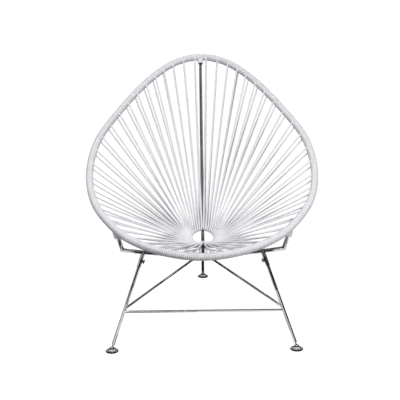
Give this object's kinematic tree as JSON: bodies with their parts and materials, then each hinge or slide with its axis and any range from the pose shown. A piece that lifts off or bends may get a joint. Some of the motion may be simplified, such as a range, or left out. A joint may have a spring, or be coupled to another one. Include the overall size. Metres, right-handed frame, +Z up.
{
  "type": "acapulco chair",
  "caption": "Low lounge chair: a bowl of cords strung from a cord-wound egg-shaped hoop to a small seat ring, carried by a plug-in rod base with tilting feet.",
  "frame": {"origin": "on the floor, under the middle of the chair's bounding box", "axes": "+Z up, -Y towards the front edge of the seat, +X to the right as seen from the front"},
  "size_m": [0.7292, 0.767, 0.7875],
  "materials": {
    "bright_rod": "polished plating",
    "cord": "soft sheen",
    "pad_rubber": "matte",
    "disc_plastic": "satin",
    "screw_steel": "dark plating"
  },
  "bodies": {
    "chair_frame": {"hoop_rod": "bright_rod", "hoop_cord_wrap": "cord", "centre_ring": "bright_rod", "spine_rod": "bright_rod", "spine_cord_turns": "cord", "crossbar": "bright_rod", "left_upright": "bright_rod", "left_upright_cord_turns": "cord", "right_upright": "bright_rod", "right_upright_cord_turns": "cord", "front_left_sleeve": "bright_rod", "front_left_leg": "bright_rod", "front_left_foot_stud": "bright_rod", "front_right_sleeve": "bright_rod", "front_right_leg": "bright_rod", "front_right_foot_stud": "bright_rod", "rear_sleeve": "bright_rod", "rear_leg": "bright_rod", "rear_foot_stud": "bright_rod", "front_stretcher": "bright_rod", "left_stretcher": "bright_rod", "right_stretcher": "bright_rod", "seat_cords_left_1": "cord", "seat_cords_left_2": "cord", "seat_cords_left_3": "cord", "seat_cords_left_4": "cord", "seat_cords_left_5": "cord", "seat_cords_right_1": "cord", "seat_cords_right_2": "cord", "seat_cords_right_3": "cord", "seat_cords_right_4": "cord", "seat_cords_right_5": "cord"},
    "front_left_foot": {"front_left_foot_pad": "pad_rubber", "front_left_foot_disc": "disc_plastic"},
    "front_right_foot": {"front_right_foot_pad": "pad_rubber", "front_right_foot_disc": "disc_plastic"},
    "rear_foot": {"rear_foot_pad": "pad_rubber", "rear_foot_disc": "disc_plastic"},
    "front_left_screw": {"front_left_set_screw": "screw_steel"},
    "front_right_screw": {"front_right_set_screw": "screw_steel"},
    "rear_screw": {"rear_set_screw": "screw_steel"}
  },
  "joints": [
    {"name": "front_left_foot_tilt", "type": "hinge", "parent": "chair_frame", "child": "front_left_foot", "pos_m": [-0.262, -0.362, 0.0105], "axis": [1, 0, 0], "range_deg": [-12, 12]},
    {"name": "front_right_foot_tilt", "type": "hinge", "parent": "chair_frame", "child": "front_right_foot", "pos_m": [0.262, -0.362, 0.0105], "axis": [1, 0, 0], "range_deg": [-12, 12]},
    {"name": "rear_foot_tilt", "type": "hinge", "parent": "chair_frame", "child": "rear_foot", "pos_m": [0, 0.293, 0.0105], "axis": [1, 0, 0], "range_deg": [-12, 12]},
    {"name": "front_left_screw_turn", "type": "hinge", "parent": "chair_frame", "child": "front_left_screw", "pos_m": [-0.17816, -0.23519, 0.22616], "axis": [0.9541, -0.1518, -0.2582], "range_deg": [0, 720]},
    {"name": "front_right_screw_turn", "type": "hinge", "parent": "chair_frame", "child": "front_right_screw", "pos_m": [0.17816, -0.23519, 0.22616], "axis": [-0.9541, -0.1518, -0.2582], "range_deg": [0, 720]},
    {"name": "rear_screw_turn", "type": "hinge", "parent": "chair_frame", "child": "rear_screw", "pos_m": [0, 0.02887, 0.38794], "axis": [0, -0.8255, -0.5643], "range_deg": [0, 720]}
  ]
}
